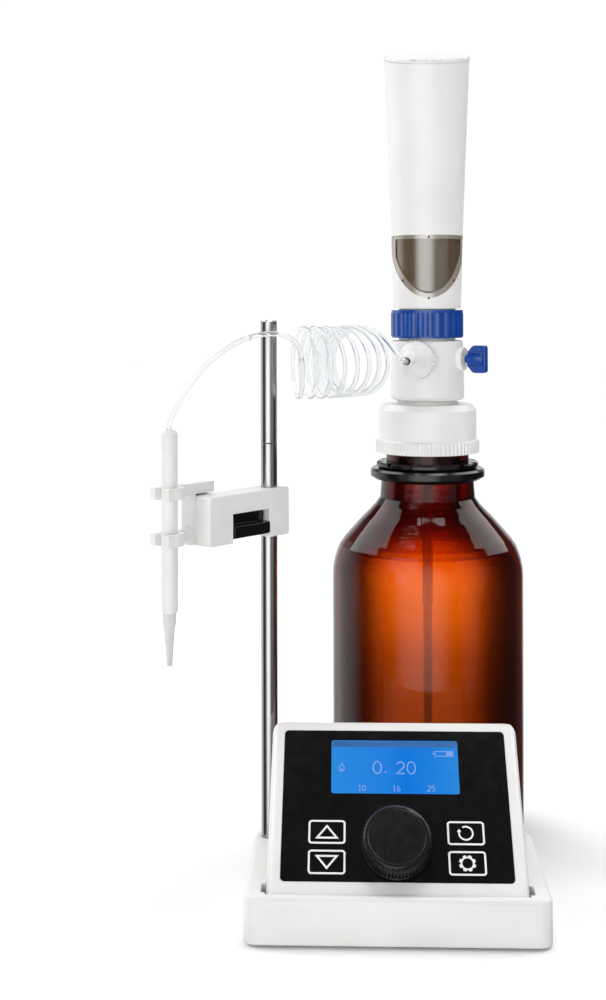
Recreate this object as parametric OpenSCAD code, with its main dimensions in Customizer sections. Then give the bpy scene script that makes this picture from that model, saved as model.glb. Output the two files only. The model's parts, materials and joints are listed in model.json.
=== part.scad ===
// Electronic bottle top dispenser: motor head on a bottle, console in a base, dosing pen on a rod.
// Millimetres. X to the right, Y to the back, Z up from the bench.

/* [Base] */
// Width of the base
base_w = 135.5; // [126:0.5:160]
// Depth of the base
base_d = 82; // [80:1:110]
// Height of the base top above the bench
base_h = 22; // [19:1:30]
// Radius of the upright corners
base_corner = 6; // [3:0.5:9]
// Radius of the top edges
base_edge = 3; // [1:0.5:5]
// Height of the rubber feet
foot_h = 1; // [1:0.5:3]
// Depth of the pocket that takes the console
pocket_depth = 12; // [8:1:13]
// Thickness of the pocket's front wall
front_wall = 4; // [3:0.5:8]

/* [Console] */
// Width of the console
console_w = 116; // [112:1:118]
// Depth of the base that shows behind the console
rear_strip = 15.3; // [13:0.1:20]
// Height of the console top above the bench
console_top = 79.5; // [70:0.5:100]
// Height of the front lip above the pocket floor
lip_rise = 10.5; // [6:0.5:14]
// Wall of the console shell
console_wall = 3; // [2:0.25:4]
// Corner radius in the panel plane
console_corner = 6; // [2:0.5:10]
// Radius along the panel edges
console_edge = 3; // [1:0.5:4]
// Width of the black panel
panel_w = 104; // [96:1:106]
// Distance of the panel from the front lip
panel_low = 7.3; // [5:0.1:8]
// Distance of the panel from the console's top edge
panel_high = 3.7; // [3:0.1:6]
// Width of the display
lcd_w = 59.4; // [40:0.2:70]
// Width of a key
key_w = 16.8; // [12:0.2:20]
// Sideways distance of the keys from the middle
key_u = 31.4; // [28:0.2:34]
// Diameter of the knob
knob_d = 31.5; // [24:0.5:36]
// Height of the knob
knob_h = 10; // [6:0.5:16]
// Diameter of the knob shaft
shaft_d = 6; // [4:0.5:7]

/* [Rod, arm and pen] */
// Diameter of the rod
rod_d = 8; // [6:0.5:10]
// Distance of the rod axis from the base's left and rear sides
rod_inset = 7.5; // [7:0.5:9]
// Height of the rod top above the bench
rod_top = 273; // [240:1:320]
// Height of the joint between the two rod pieces
rod_joint = 213; // [200:1:225]
// Length of the clamp arm
arm_l = 55; // [50:1:75]
// Thickness of the clamp arm
arm_t = 14; // [13:0.5:20]
// Height of the clamp arm
arm_h = 23.2; // [21:0.2:32]
// Height of the arm's underside above the bench
arm_z = 168.8; // [150:0.2:175]
// Turn of the arm towards the front
arm_angle = 50; // [35:1:60]
// Length of the release lever
lever_l = 24; // [18:0.2:26]
// Diameter of the dosing pen
pen_d = 7.8; // [6:0.2:10]
// Length of the pen body
pen_l = 83; // [70:1:100]
// Height of the pen body's lower end above the bench
pen_low = 141; // [130:1:150]
// Length of the clear pen tip
tip_l = 24; // [16:1:34]

/* [Bottle] */
// Diameter of the bottle
bottle_d = 101; // [86:1:112]
// Height of the bottle
bottle_h = 223.5; // [216:0.5:240]
// Gap between base and bottle
bottle_gap = 11.5; // [4:0.5:20]
// Sideways place of the bottle axis from the middle of the base
bottle_side = 20.2; // [10:0.2:30]
// Height of the mouth above the start of the shoulder
shoulder_drop = 86.5; // [80:0.5:95]
// Height of the mouth above the foot of the neck
neck_drop = 36.5; // [34:0.5:40]
// Height of the mouth above the joint in the intake tube
intake_drop = 102.5; // [90:0.5:120]
// Thickness of the glass
glass = 3; // [2:0.25:4]
// Diameter of the bottle neck
neck_d = 44; // [42:0.5:45]
// Diameter of the pouring ring
pour_ring_d = 60.6; // [54:0.2:64]
// Bore of the intake tube
intake_bore = 4.7; // [4.2:0.1:5]

/* [Head] */
// Diameter of the adapter cap
adapter_d = 52; // [50:0.5:56]
// Number of grip ribs on the adapter
adapter_ribs = 72; // [36:4:90]
// Top diameter of the valve block
block_d = 38; // [36:0.5:40]
// Height of the valve block
block_h = 31.5; // [30:0.5:38]
// Diameter of the coupling ring
coupling_d = 38.5; // [35:0.5:40]
// Height of the coupling ring
coupling_h = 15.2; // [12:0.2:16]
// Number of ribs on the coupling ring
coupling_ribs = 24; // [12:2:36]
// Height of the drive housing on its axis
housing_h = 134.7; // [132:0.5:150]
// Diameter of the housing at its foot
housing_low_d = 36; // [36:0.5:40]
// Diameter of the housing at its top
housing_top_d = 45.8; // [44:0.2:52]
// Fall of the housing top towards the front
top_slant = 14; // [0:1:16]
// Height of the sight window
window_h = 34; // [26:1:36]
// Bore of the measuring cylinder
cylinder_bore = 22; // [16:0.5:22]
// Stroke of the piston
stroke = 42; // [30:1:42]
// Diameter of the outlet nut
outlet_nut_d = 20; // [18:0.5:21]
// Distance of the nozzle tip from the bottle axis
outlet_reach = 41; // [38:0.5:46]

/* [Delivery tube] */
// Outer diameter of the tube
tube_d = 2.4; // [2:0.1:2.8]
// Radius of a coil loop
coil_r = 16.6; // [13:0.2:18]
// Length of the coil along its bent axis
coil_l = 43; // [40:0.5:52]

/* [Hidden] */
$fn = 96;
function tenth(x) = round(10 * x) / 10;
slide_gap = 0.05;
move_gap = 0.3;
floor_z = base_h - pocket_depth;
console_front = front_wall + move_gap - base_d / 2;
console_d = base_d - front_wall - move_gap - rear_strip;
console_back = console_front + console_d;
lip_z = floor_z + lip_rise;
top_flat = 2;
slope_rise = console_top - lip_z;
slope_run = console_d - top_flat;
tilt = atan2(slope_rise, slope_run);
slope_l = sqrt(slope_rise * slope_rise + slope_run * slope_run);
panel_h = tenth(slope_l - panel_low - panel_high);
panel_t = 0.7;
panel_sink = 0.6;
panel_face = panel_t - panel_sink;
lcd_v = 0.749 * panel_h;
lcd_h = tenth(0.365 * panel_h);
knob_v = 0.218 * panel_h;
key_v = [0.121 * panel_h, 0.312 * panel_h];
key_h = tenth(0.1526 * panel_h);
key_t = 2.7;
press = 0.35;
switch_top = panel_face - key_t - press - move_gap;
board_n = -console_wall - 5.4;
board_t = 1.6;
knob_n = 1;
shaft_low = -console_wall - 3.5;
shaft_top = knob_n + knob_h - 1.5;
arm_tail = 7.5;
arm_end = arm_l - arm_tail;
pen_s = arm_end + 18.5;
clip_r = pen_d / 2 + 2.8;
clip_tab = [clip_r - 0.6, clip_r - 0.4];
left_reach = base_w / 2 - rod_inset + (pen_s + clip_tab[0]) * cos(arm_angle) + clip_tab[1] * sin(arm_angle);
right_reach = max(bottle_side + bottle_d / 2, base_w / 2);
base_x = (left_reach - right_reach) / 2;
base_y = -(bottle_gap + bottle_d) / 2;
rod_x = base_x + rod_inset - base_w / 2;
rod_y = base_y + base_d / 2 - rod_inset;
rod_foot = foot_h + 3.5;
bush_r = rod_d / 2 + 1;
pen_x = rod_x - pen_s * cos(arm_angle);
pen_y = rod_y - pen_s * sin(arm_angle);
pen_top = pen_low + pen_l;
clip_z = [arm_z + 2.9, arm_z + arm_h + 0.6];
clip_h = 5.4;
lever_s = bush_r + 2.1;
notch_h = 13.7;
lever_pin = [1.5, arm_z + notch_h - 2.7];
tip_d = 6;
bottle_x = base_x + bottle_side;
bottle_y = base_y + base_d / 2 + bottle_gap + bottle_d / 2;
shoulder_z = bottle_h - shoulder_drop;
neck_z = bottle_h - neck_drop;
neck_base_r = neck_d / 2 + 2.6;
mouth_r = neck_d / 2 - 4;
shoulder = [[0, 1], [0.09, 0.99], [0.18, 0.954], [0.25, 0.91], [0.32, 0.853], [0.39, 0.76],
    [0.46, 0.641], [0.54, 0.505], [0.612, 0.378], [0.68, 0.245], [0.75, 0.12], [0.82, 0.027], [1, 0]];
seal_t = 1.5;
adapter_low = bottle_h - 21.5;
adapter_roof = bottle_h + seal_t;
adapter_top = adapter_roof + 2.5;
spigot_r = 8;
block_low = adapter_top + 2;
block_top = block_low + block_h;
outlet_z = block_low + 22;
cylinder_wall = 2;
cylinder_r = cylinder_bore / 2 + cylinder_wall;
cylinder_low = block_top - 4.5;
neck_r = cylinder_r + 2;
housing_low = block_top + coupling_h + 1.8;
housing_top = housing_low + housing_h;
housing_wall = 2.5;
window_low = housing_low + 4.5;
window_top = window_low + window_h;
window_edge = 2;
piston_low = cylinder_low + 10.5;
piston_l = 14;
nut_low = piston_low + 63.5;
nut_l = 8;
cylinder_top = nut_low - 2;
plate_low = nut_low + nut_l + stroke + 3;
plate_t = 3;
motor_low = plate_low + plate_t;
screw_d = 6;
screw_low = nut_low + 1;
rod_hollow_low = screw_low - stroke - 4;
piston_rod_r = 5;
guide_r = 12.5;
guide_d = 3;
intake_d = intake_bore + 0.8;
intake_low_d = intake_bore - 2 * slide_gap;
intake_split = bottle_h - intake_drop;
ball_d = 6;
ball_bore = 4;
ball_seat_r = ball_d / 2 * cos(30);
ball_lift = 1.2;
outlet_turn = 252.5;
valve_turn = 335;
nozzle_x = bottle_x + outlet_reach * cos(outlet_turn);
nozzle_y = bottle_y + outlet_reach * sin(outlet_turn);
coil_turns = 7.75;
coil_heading = [28, 77];
coil_bend = coil_heading[1] - coil_heading[0];
coil_start = [nozzle_x - 21.9, nozzle_y - 8.9, outlet_z + 1];
bend_r = coil_l * 180 / PI / coil_bend;

function unit(v) = v / norm(v);
function mix(a, b, k) = a + (b - a) * k;
function bezier(a, b, c, d, t) =
    pow(1 - t, 3) * a + 3 * pow(1 - t, 2) * t * b + 3 * (1 - t) * t * t * c + pow(t, 3) * d;

// Centre, side direction and point of the coil at k from 0 to 1
function coil_angle(k) = mix(coil_heading[0], coil_heading[1], k);
function coil_centre(k) = coil_start + bend_r * [
    cos(coil_angle(k)) - cos(coil_heading[0]), sin(coil_heading[0]) - sin(coil_angle(k)), 0];
function coil_side(k) = [cos(coil_angle(k)), -sin(coil_angle(k)), 0];
function coil_point(k) = coil_centre(k)
    + coil_r * (cos(90 + 360 * coil_turns * k) * coil_side(k) + [0, 0, sin(90 + 360 * coil_turns * k)]);

// Tube centre line: out of the nozzle, over to the loops, round the loops, off to the pen
nozzle_tip = [nozzle_x, nozzle_y, outlet_z];
nozzle_dir = [cos(outlet_turn), sin(outlet_turn), 0];
coil_rings = 24 * coil_turns;
coil_in = unit(coil_point(0.5 / coil_rings) - coil_point(0));
coil_out = unit(coil_point(1) - coil_point(1 - 0.5 / coil_rings));
lead_in = nozzle_tip + nozzle_dir * tube_d;
coil_line = concat([nozzle_tip],
    [for (i = [0:11]) bezier(lead_in, lead_in + nozzle_dir * 11, coil_point(0) - coil_in * 11,
        coil_point(0), i / 12)],
    [for (i = [0:coil_rings]) coil_point(i / coil_rings)],
    [coil_point(1) + coil_out * tube_d]);
coil_end = coil_point(1) + coil_out * tube_d;
pen_entry = [pen_x, pen_y, pen_top];
lead_end = pen_entry + [0, 0, tube_d];
lead_split = 12;
lead_line = concat(
    [for (i = [0:23]) bezier(coil_end, coil_end + coil_out * 22, lead_end + [16, 6, 44], lead_end, i / 24)],
    [lead_end, pen_entry]);

// Swept tube: frames carried along the line without twist
function tangent(p, i) = i == 0 ? unit(p[1] - p[0])
    : i == len(p) - 1 ? unit(p[i] - p[i - 1])
    : unit(unit(p[i + 1] - p[i]) + unit(p[i] - p[i - 1]));
function flat_to(u, t) = unit(u - (u * t) * t);
function carried(t) = [for (i = 0, u = flat_to([0.1, 0.2, 1], t[0]); i < len(t);
    i = i + 1, u = i < len(t) ? flat_to(u, t[i]) : u) u];
function loop_gap(p, i) = min([for (j = [i + 12:len(p) - 1]) norm(p[j] - p[i])]);

module tube(line, sides, first, last) {
    t = [for (i = [0:len(line) - 1]) i == len(line) - 1 && last != undef ? last
        : i == 0 && first != undef ? first : tangent(line, i)];
    u = carried(t);
    n = len(line);
    points = [for (i = [0:n - 1], j = [0:sides - 1])
        line[i] + tube_d / 2 * (cos(360 * j / sides) * u[i] + sin(360 * j / sides) * cross(t[i], u[i]))];
    walls = [for (i = [0:n - 2], j = [0:sides - 1], k = [0, 1])
        k == 0 ? [i * sides + j, (i + 1) * sides + j, (i + 1) * sides + (j + 1) % sides]
            : [i * sides + j, (i + 1) * sides + (j + 1) % sides, i * sides + (j + 1) % sides]];
    ends = [[for (j = [0:sides - 1]) j], [for (j = [0:sides - 1]) n * sides - 1 - j]];
    polyhedron(points, concat(walls, ends));
}

// Placing helpers
module on_base() {
    translate([base_x, base_y, 0])
        children();
}

module on_panel() {
    on_base()
        translate([0, console_front, lip_z])
            rotate([tilt, 0, 0])
                children();
}

module on_face(v) {
    on_panel()
        translate([0, panel_low + v, 0])
            children();
}

module on_bottle() {
    translate([bottle_x, bottle_y, 0])
        children();
}

module on_outlet() {
    translate([bottle_x, bottle_y, outlet_z])
        rotate([0, 0, outlet_turn])
            rotate([0, 90, 0])
                children();
}

module on_valve() {
    translate([bottle_x, bottle_y, outlet_z])
        rotate([0, 0, valve_turn])
            rotate([0, 90, 0])
                children();
}

module on_rod() {
    translate([rod_x, rod_y, 0])
        children();
}

module on_arm() {
    on_rod()
        rotate([0, 0, 180 + arm_angle])
            children();
}

module on_pen() {
    translate([pen_x, pen_y, 0])
        children();
}

// Shapes used more than once
module rounded(w, h, r) {
    square([w - 2 * r, h], center = true);
    square([w, h - 2 * r], center = true);
    for (x = [-1, 1], y = [-1, 1])
        translate([x * (w / 2 - r), y * (h / 2 - r)])
            circle(r);
}

module block_rounded(w, h, r, low, high) {
    translate([0, 0, low])
        linear_extrude(high - low)
            rounded(w, h, r);
}

module post(r, low, high) {
    translate([0, 0, low])
        cylinder(r = r, h = high - low);
}

module cone(r1, r2, low, high) {
    translate([0, 0, low])
        cylinder(r1 = r1, r2 = r2, h = high - low);
}

module ribbed(r, depth, count, low, high) {
    translate([0, 0, low])
        linear_extrude(high - low)
            polygon([for (i = [0:4 * count - 1])
                (i % 4 < 2 ? r : r - depth) * [cos(90 * i / count), sin(90 * i / count)]]);
}

module four_places(x, y, middle) {
    on_base()
        for (i = [-1, 1], j = [-1, 1])
            translate([i * x, middle + j * y, 0])
                children();
}

// Base
base_screw_x = base_w / 2 - 22;
base_screw_y = base_d / 2 - 10;
base_inner = 3;
plate_top = foot_h + 2;
cavity_top = floor_z - 2.5;

module base_solid() {
    on_base()
    intersection() {
        block_rounded(base_w, base_d, base_corner, foot_h, base_h);
        translate([0, base_d, 0])
            rotate([90, 0, 0])
                linear_extrude(2 * base_d)
                    edge_profile(base_w, base_h, base_edge);
        translate([-base_w, 0, 0])
            rotate([90, 0, 90])
                linear_extrude(2 * base_w)
                    edge_profile(base_d, base_h, base_edge);
    }
}

module edge_profile(w, h, r) {
    translate([-w / 2, 0])
        square([w, h - r]);
    translate([r - w / 2, 0])
        square([w - 2 * r, h]);
    for (x = [-1, 1])
        translate([x * (w / 2 - r), h - r])
            circle(r);
}

module under_base(low, high) {
    inset = 2 * base_inner;
    on_base()
        block_rounded(base_w - inset, base_d - inset, base_corner - 2, low, high);
}

module base_screw(low, high) {
    post(1.5, low, high);
    cone(2.8, 1.5, low, low + 1.4);
}

module base_shell() {
    color("white")
    difference() {
        base_solid();
        difference() {
            under_base(0, cavity_top);
            four_places(base_screw_x, base_screw_y, 0)
                post(4, plate_top, cavity_top + 1);
            on_rod()
                post(rod_d / 2 + 2.5, plate_top, cavity_top + 1);
        }
        on_base() {
            translate([-console_w / 2 - move_gap, console_front - move_gap, floor_z])
                cube([console_w + 2 * move_gap, console_d + 2 * move_gap, base_h]);
            for (x = [-1, 1])
                translate([x * (console_w / 2 + 1.2) - 1.2, console_front + 2, floor_z + 2])
                    cube([2.4, 10, base_h]);
        }
        on_rod()
            post(rod_d / 2, rod_foot, base_h + 1);
        four_places(base_screw_x, base_screw_y, 0)
            post(1.5, 0, cavity_top - 0.5);
    }
}

module base_bottom_plate() {
    color("dimgray")
    difference() {
        under_base(foot_h, plate_top);
        four_places(base_screw_x, base_screw_y, 0)
            base_screw(foot_h, plate_top + 1);
    }
}

module base_screws() {
    color("silver")
    four_places(base_screw_x, base_screw_y, 0)
        base_screw(foot_h, cavity_top - 0.5);
}

module rubber_feet() {
    color("black")
    four_places(base_w / 2 - 10, base_d / 2 - 11, 0)
        cone(5.4, 6, 0, foot_h);
}

module rod_lower() {
    color("silver")
    on_rod()
        post(rod_d / 2, rod_foot, rod_joint);
}

module rod_upper() {
    color("silver")
    on_rod() {
        cone(rod_d / 2 - 0.3, rod_d / 2, rod_joint, rod_joint + 0.6);
        post(rod_d / 2, rod_joint + 0.6, rod_top - 0.6);
        cone(rod_d / 2, rod_d / 2 - 0.6, rod_top - 0.6, rod_top);
    }
}

// Console
console_screw_x = console_w / 2 - 6;
console_mid = (console_front + console_back) / 2;
console_screw_y = console_d / 2 - 6;
cover_top = floor_z + 2.5;

module along_x(w, profile) {
    on_base()
        translate([-w / 2, 0, 0])
            rotate([90, 0, 90])
                linear_extrude(w)
                    polygon(profile);
}

module console_solid() {
    high = console_d * cos(tilt) + slope_rise * sin(tilt);
    intersection() {
        along_x(console_w, [[console_front, floor_z], [console_front, lip_z],
            [console_back - top_flat, console_top], [console_back, console_top], [console_back, floor_z]]);
        on_panel()
            translate([0, high / 2 - 60, 0])
                block_rounded(console_w, high + 120, console_corner, -base_w, 1);
        on_panel()
            translate([0, -base_w, 0])
                rotate([-90, 0, 0])
                    linear_extrude(3 * base_w)
                        mirror([0, 1])
                            translate([0, -2 * base_w])
                                edge_profile(console_w, 2 * base_w, console_edge);
    }
}

module console_hollow() {
    in_z = lip_z - console_wall * cos(tilt) + console_wall * (1 - sin(tilt)) * tan(tilt);
    top_z = in_z + (console_d - 2 * console_wall) * tan(tilt);
    along_x(console_w - 2 * console_wall, [
        [console_front + console_wall, floor_z - 1], [console_front + console_wall, in_z],
        [console_back - console_wall, top_z], [console_back - console_wall, floor_z - 1]]);
}

module console_screw_places() {
    four_places(console_screw_x, console_screw_y, console_mid)
        children();
}

module each_key() {
    for (x = [-1, 1], v = key_v)
        on_face(v)
            translate([x * key_u, 0, 0])
                children();
}

module console_shell() {
    color("white")
    difference() {
        union() {
            difference() {
                console_solid();
                console_hollow();
            }
            intersection() {
                console_solid();
                console_screw_places()
                    post(3.5, cover_top, lip_z + 4);
            }
        }
        console_screw_places()
            post(1.5, floor_z - 1, cover_top + 5);
        on_face(panel_h / 2)
            block_rounded(panel_w, panel_h, 2, -panel_sink, 5);
        on_face(lcd_v)
            block_rounded(lcd_w - 3, lcd_h - 3, 1, -console_wall - 1, 1);
        on_face(knob_v)
            post(shaft_d / 2 + 1.2, -console_wall - 1, 1);
        each_key()
            block_rounded(key_w + 2 * move_gap, key_h + 2 * move_gap, 1.8, -console_wall - 1, 1);
    }
}

module console_cover() {
    color("white")
    difference() {
        on_base()
            translate([console_wall - console_w / 2, console_front + console_wall, floor_z])
                cube([console_w - 2 * console_wall, console_d - 2 * console_wall, cover_top - floor_z]);
        console_screw_places()
            base_screw(floor_z, cover_top + 1);
    }
}

module console_screws() {
    color("silver")
    console_screw_places()
        base_screw(floor_z, cover_top + 5);
}

module panel_overlay() {
    color("black")
    difference() {
        on_face(panel_h / 2)
            block_rounded(panel_w, panel_h, 2, -panel_sink, panel_face);
        on_face(lcd_v)
            block_rounded(lcd_w, lcd_h, 1.2, -1, 1);
        on_face(knob_v)
            post(shaft_d / 2 + 1.2, -1, 1);
        each_key()
            block_rounded(key_w + 2 * move_gap, key_h + 2 * move_gap, 1.8, -1, 1);
    }
}

module display_lens() {
    color("royalblue")
    on_face(lcd_v)
        block_rounded(lcd_w, lcd_h, 1.2, -panel_sink, panel_face);
}

module display_module() {
    color("darkslategray")
    on_face(lcd_v)
        block_rounded(lcd_w + 4, lcd_h - 1, 1, -console_wall - 2.6, -console_wall);
}

module control_board() {
    color("darkgreen")
    on_face(panel_h / 2 - 7.5)
        block_rounded(panel_w - 8, panel_h - 20, 2, board_n - board_t, board_n);
}

module encoder_body() {
    color("gray")
    on_face(knob_v)
    difference() {
        union() {
            block_rounded(13, 13, 0.5, board_n, -console_wall);
            post(shaft_d / 2 + 1.2, -console_wall, panel_face);
        }
        post(5.4, shaft_low - 1, shaft_low + 2.4);
        post(shaft_d / 2 + slide_gap, shaft_low, knob_n + 1);
    }
}

module encoder_rotor() {
    color("silver")
    on_face(knob_v)
    difference() {
        post(5, shaft_low - 0.4, shaft_low + 1.8);
        post(shaft_d / 2 + slide_gap, shaft_low - 1, shaft_low + 3);
    }
}

module knob_shaft() {
    color("silver")
    on_face(knob_v)
        post(shaft_d / 2, shaft_low, shaft_top);
}

module knob() {
    color("black")
    on_face(knob_v)
    difference() {
        union() {
            post(knob_d / 2, knob_n, knob_n + 1.6);
            ribbed(knob_d / 2 - 0.2, 0.6, 60, knob_n + 1.6, knob_n + knob_h - 1.4);
            cone(knob_d / 2 - 0.5, knob_d / 2 - 1.5, knob_n + knob_h - 1.4, knob_n + knob_h);
        }
        post(shaft_d / 2, knob_n - 1, shaft_top);
        post(knob_d / 2 - 3, knob_n + knob_h - 0.4, knob_n + knob_h + 1);
    }
}

module key(side, row) {
    color("black")
    on_face(key_v[row])
        translate([side * key_u, 0, 0])
            block_rounded(key_w, key_h, 1.5, panel_face - key_t, panel_face);
}

module key_up() {
    key(-1, 1);
}

module key_down() {
    key(-1, 0);
}

module key_return() {
    key(1, 1);
}

module key_settings() {
    key(1, 0);
}

module key_switches() {
    color("dimgray")
    each_key() {
        block_rounded(6, 6, 0.5, board_n, switch_top - 0.4);
        post(1.6, switch_top - 0.4, switch_top);
    }
}

module battery_pack() {
    cell_r = 0.144 * console_d;
    cell_l = 0.56 * console_w;
    color("steelblue")
    on_base()
        for (i = [0, 1])
            translate([-cell_l / 2, console_back - console_wall - 1.1 - cell_r - 1.98 * cell_r * i,
                cover_top + cell_r])
                rotate([0, 90, 0])
                    cylinder(r = cell_r, h = cell_l);
}

// Bottle
function shoulder_points(r, neck, low, high) =
    [for (p = shoulder) [neck + (r - neck) * p[1], mix(low, high, p[0])]];

module bottle() {
    r = bottle_d / 2;
    heel = 9;
    inside = r - glass;
    color("saddlebrown")
    on_bottle()
        rotate_extrude()
            polygon(concat(
                [[0, 2], [r - heel - 6, 2], [r - heel - 4, 0]],
                [for (a = [0:10:90]) [r - heel + heel * sin(a), heel - heel * cos(a)]],
                shoulder_points(r, neck_base_r, shoulder_z, neck_z),
                [[neck_d / 2, neck_z], [neck_d / 2, bottle_h], [mouth_r, bottle_h], [mouth_r, neck_z - 4]],
                [for (i = [len(shoulder) - 1:-1:0]) [mix(mouth_r, inside, shoulder[i][1]),
                    mix(shoulder_z, neck_z - 5, shoulder[i][0]) - 1]],
                [for (a = [90:-15:0]) [inside - 7 + 7 * sin(a), 11 - 7 * cos(a)]],
                [[inside - 20, 5], [0, 5]]));
}

module pour_ring() {
    r = neck_d / 2;
    color("black")
    on_bottle()
    difference() {
        rotate_extrude()
            polygon([[r, neck_z], [neck_base_r, neck_z], [pour_ring_d / 2 - 2, neck_z + 1],
                [pour_ring_d / 2, neck_z + 2.5], [pour_ring_d / 2, neck_z + 5.6],
                [pour_ring_d / 2 - 1.2, neck_z + 6.6], [r + 3.6, neck_z + 6.6], [r + 5, neck_z + 8],
                [r + 5, neck_z + 9.4], [r + 4.2, neck_z + 10], [r, neck_z + 10]]);
        for (i = [0:11])
            rotate([0, 0, 30 * i + 9])
                translate([r + 2, 0, neck_z + 10])
                    rotate([0, 90, 0])
                        linear_extrude(6)
                            polygon([[0.5, -1.6], [-1, -1.6], [-1, 1.6], [0.5, 1.6], [2.4, 0]]);
    }
}

module bottle_adapter() {
    r = adapter_d / 2;
    color("white")
    on_bottle()
    difference() {
        union() {
            ribbed(r + 1.5, 0.7, adapter_ribs, adapter_low, adapter_low + 6.3);
            cone(r + 0.8, r, adapter_low + 6.3, adapter_low + 7.1);
            post(r, adapter_low + 7.1, adapter_top - 3);
            cone(r, r - 2.4, adapter_top - 3, adapter_top);
            post(16, adapter_top, block_low);
        }
        post(neck_d / 2, adapter_low - 1, adapter_roof);
        post(spigot_r, adapter_roof - 1, block_low + 1);
    }
}

module adapter_seal() {
    color("dimgray")
    on_bottle()
    difference() {
        post(neck_d / 2, bottle_h, adapter_roof);
        post(mouth_r, bottle_h - 1, adapter_roof + 1);
    }
}

// Head
valve_seat_low = block_low + 1;
valve_seat_top = valve_seat_low + 5;
ball_z = valve_seat_top + ball_d / 2 * sin(30) + 0.02;
outlet_seat = 15;
outlet_ball = outlet_seat + 4 + ball_d / 2 * sin(30) + 0.02;

module valve_seat(low, high) {
    difference() {
        post(ball_d / 2 + 1.2, low, high);
        post(ball_bore / 2, low - 1, high + 1);
        cone(0, 2 * ball_seat_r, high - ball_seat_r * tan(60), high + ball_seat_r * tan(60));
    }
}

module valve_block() {
    r = block_d / 2;
    chamber = ball_d / 2 + 1.2;
    color("white")
    difference() {
        union() {
            on_bottle() {
                rotate_extrude()
                    polygon([[0, block_low], [r - 1.4, block_low], [r - 0.2, block_low + 0.5],
                        [r + 0.7, block_low + 2], [r, block_top - 0.5], [r - 0.5, block_top],
                        [0, block_top]]);
                post(spigot_r, adapter_roof, block_low);
                post(neck_r, block_top, housing_low);
            }
            on_outlet()
                post(outlet_nut_d / 2 - 1.5, 0, 20);
            on_valve()
                post(6, 0, 21.2);
        }
        on_bottle() {
            post(intake_d / 2, adapter_roof - 1, valve_seat_low);
            post(chamber, valve_seat_low, ball_z + ball_d / 2 + ball_lift + move_gap);
            post(ball_bore / 2, block_low, cylinder_low + 1);
            post(cylinder_r, cylinder_low, housing_low + 1);
        }
        on_outlet() {
            post(ball_bore / 2, 0, 20.5);
            post(chamber, outlet_seat, 20.5);
        }
        on_valve()
            post(3, 5, 22);
    }
}

module suction_seat() {
    color("ivory")
    on_bottle()
        valve_seat(valve_seat_low, valve_seat_top);
}

module suction_ball() {
    color("ivory")
    on_bottle()
        translate([0, 0, ball_z])
            sphere(d = ball_d);
}

module discharge_seat() {
    color("ivory")
    on_outlet()
        valve_seat(outlet_seat, outlet_seat + 4);
}

module discharge_ball() {
    color("ivory")
    on_outlet()
        translate([0, 0, outlet_ball])
            sphere(d = ball_d);
}

module outlet_nozzle() {
    r = outlet_nut_d / 2 - 1.5;
    chamber = outlet_ball + ball_d / 2 + ball_lift + move_gap;
    color("white")
    on_outlet()
    difference() {
        rotate_extrude()
            polygon([[0, 20], [r, 20], [r, 26.5], [r - 1.5, 28.5], [5.5, 31.5], [3.4, 34],
                [2.9, 36], [2.65, outlet_reach], [0, outlet_reach]]);
        post(ball_d / 2 + 1.2, 19, chamber);
        post(1.6, 20, outlet_reach - 1.5);
        cone(1.6, 2.1, outlet_reach - 1.5, outlet_reach + 0.01);
        post(tube_d / 2, outlet_reach - 3, outlet_reach + 1);
    }
}

module outlet_nut() {
    r = outlet_nut_d / 2 - 1.5;
    color("white")
    on_outlet()
    difference() {
        union() {
            ribbed(outlet_nut_d / 2, 0.6, 28, 19.2, 24.6);
            cone(outlet_nut_d / 2 - 0.6, outlet_nut_d / 2 - 1.4, 24.6, 26);
        }
        post(r, 18, 27);
        on_block_side();
    }
}

module on_block_side() {
    translate([0, 0, 0])
        rotate([0, -90, 0])
            translate([0, 0, -30])
                cylinder(r = block_d / 2 + 0.7, h = 60);
}

module valve_plug() {
    color("ivory")
    on_valve() {
        post(3 - slide_gap, 6, 20.8);
        post(1.2, 20.8, 27);
    }
}

module valve_knob() {
    color("royalblue")
    on_valve()
    difference() {
        union() {
            post(1.9, 21.6, 24);
            post(4, 23.4, 32.4);
            translate([0, 2.3, 0])
                rotate([90, 0, 0])
                    linear_extrude(4.6)
                        polygon([[-3.6, 23.4], [3.6, 23.4], [6.4, 25.6], [7.2, 27], [7.2, 32.6], [6.4, 33.4],
                            [-6.4, 33.4], [-7.2, 32.6], [-7.2, 27], [-6.4, 25.6]]);
        }
        post(1.2, 21, 27);
    }
}

module coupling_ring() {
    color("royalblue")
    on_bottle()
    difference() {
        union() {
            ribbed(coupling_d / 2, 0.5, coupling_ribs, block_top + 2.5, housing_low - 2.3);
            post(coupling_d / 2 - 0.2, block_top + 1.6, block_top + 2.5);
            post(coupling_d / 2 - 0.2, housing_low - 2.3, housing_low - 0.8);
        }
        post(neck_r + slide_gap, block_top, housing_low);
    }
}

module housing_cone(inset, low, high) {
    rotate_extrude()
        polygon([[0, low], [housing_radius(low) - inset, low],
            [housing_radius(window_top) - inset, window_top],
            [housing_radius(plate_low) - inset, plate_low],
            [housing_radius(high) - inset, high], [0, high]]);
}

function housing_radius(z) = housing_low_d / 2
    + (housing_top_d - housing_low_d) / 2 * pow(max(0, z - housing_low) / housing_h, 1.25);

module under_slant(drop) {
    translate([0, 0, housing_top - drop])
        rotate([top_slant, 0, 0])
            translate([-base_w, -base_w, -2 * base_w])
                cube([2 * base_w, 2 * base_w, 2 * base_w]);
}

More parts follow.
